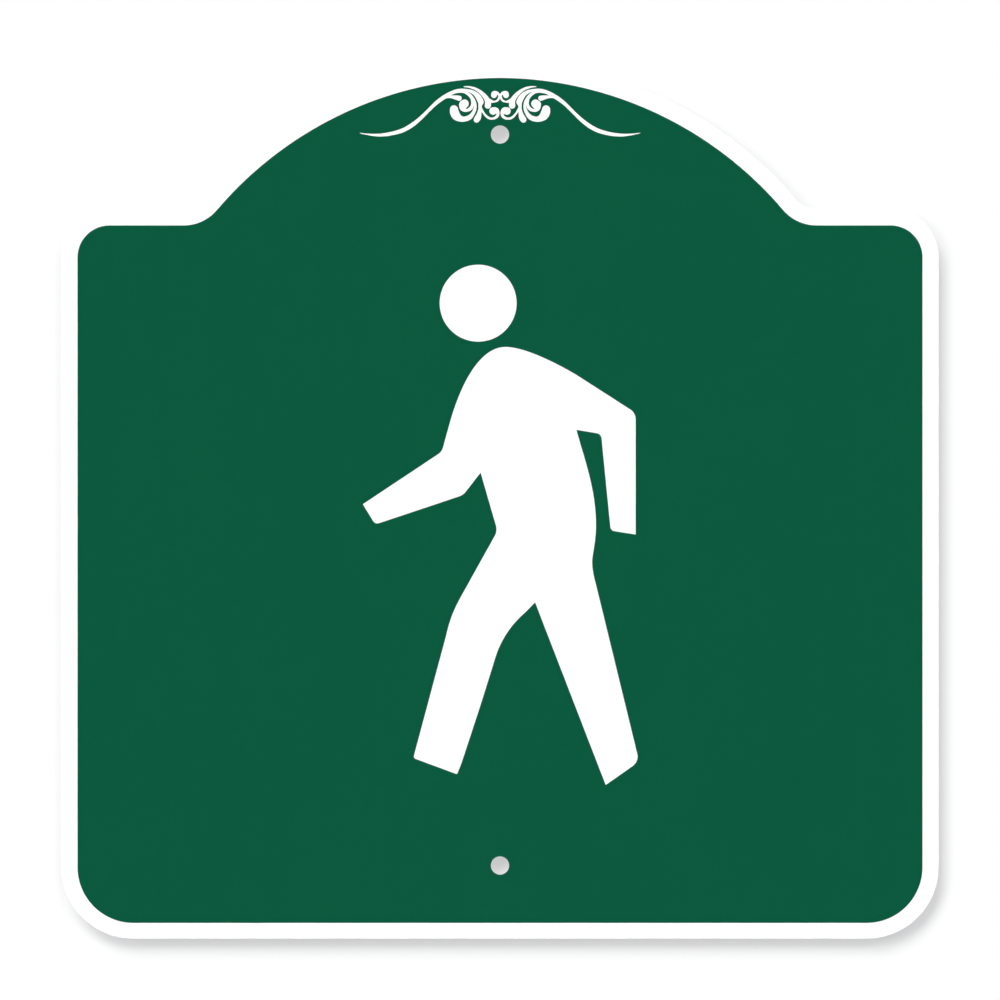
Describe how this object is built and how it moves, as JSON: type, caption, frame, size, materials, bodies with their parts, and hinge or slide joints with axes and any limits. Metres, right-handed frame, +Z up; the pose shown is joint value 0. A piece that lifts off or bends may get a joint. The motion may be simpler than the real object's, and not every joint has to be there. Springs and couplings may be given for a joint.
{
  "type": "pedestrian sign",
  "caption": "Flat arched aluminium street sign with a white walking figure and scroll ornament on a green field inside a white border, punched for post mounting.",
  "frame": {"origin": "midway between the two mounting holes, on the back face of the aluminium", "axes": "+Z up, +X to the right as the sign is read, and the sign faces -Y, so +Y runs backwards into the post"},
  "size_m": [0.4572, 0.0019, 0.4572],
  "materials": {
    "mill_finish_aluminium": "mill finish with rolling lines, sheared edges",
    "white_sheeting": "white retroreflective sheeting",
    "green_film": "green transparent overlay film, satin",
    "clear_film": "clear protective overlaminate, gloss"
  },
  "bodies": {
    "root": {"aluminium_blank": "mill_finish_aluminium", "white_reflective_sheeting": "white_sheeting", "green_overlay_film": "green_film", "clear_overlaminate": "clear_film"}
  },
  "joints": []
}
